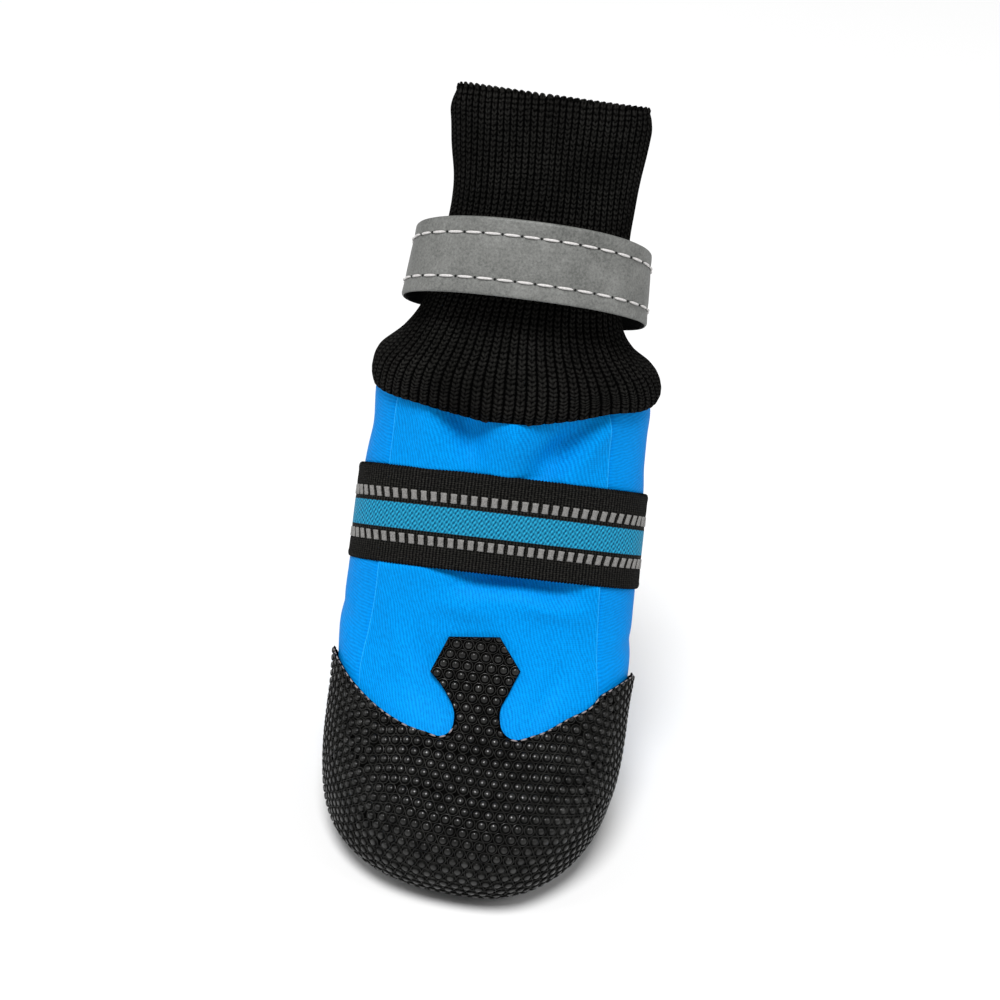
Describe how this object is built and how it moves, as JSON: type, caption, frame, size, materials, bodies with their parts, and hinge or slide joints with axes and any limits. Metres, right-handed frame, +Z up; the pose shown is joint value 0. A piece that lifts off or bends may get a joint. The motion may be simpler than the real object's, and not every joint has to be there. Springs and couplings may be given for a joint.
{
  "type": "dog boot",
  "caption": "Soft dog boot standing on its sole: studded cup sole and toe cap with a puzzle-shaped tab, blue stretch upper, striped elastic band, black rib-knit cuff and loose reflective strap.",
  "frame": {"origin": "on the sole's flat tread, below the middle of the paw", "axes": "+Z up along the boot's height, -Y towards the toe, +X across the boot"},
  "size_m": [0.0811, 0.0955, 0.1948],
  "materials": {
    "sole": "moulded studs on coated mesh, satin",
    "toe_cap": "moulded studs on coated mesh, satin",
    "upper": "smooth stretch twill over foam, matte",
    "insole": "plain felt, matte",
    "instep_band": "woven elastic with a teal stripe and grey reflective dashes",
    "cuff": "rib knit, matte",
    "cuff_strap": "grey reflective tape, two stitch rows",
    "strap_fastener": "hook and loop pile"
  },
  "bodies": {
    "root": {"sole": "sole", "insole": "insole", "upper": "upper", "toe_cap": "toe_cap", "instep_band": "instep_band", "cuff": "cuff", "cuff_strap": "cuff_strap", "strap_fastener": "strap_fastener"}
  },
  "joints": []
}
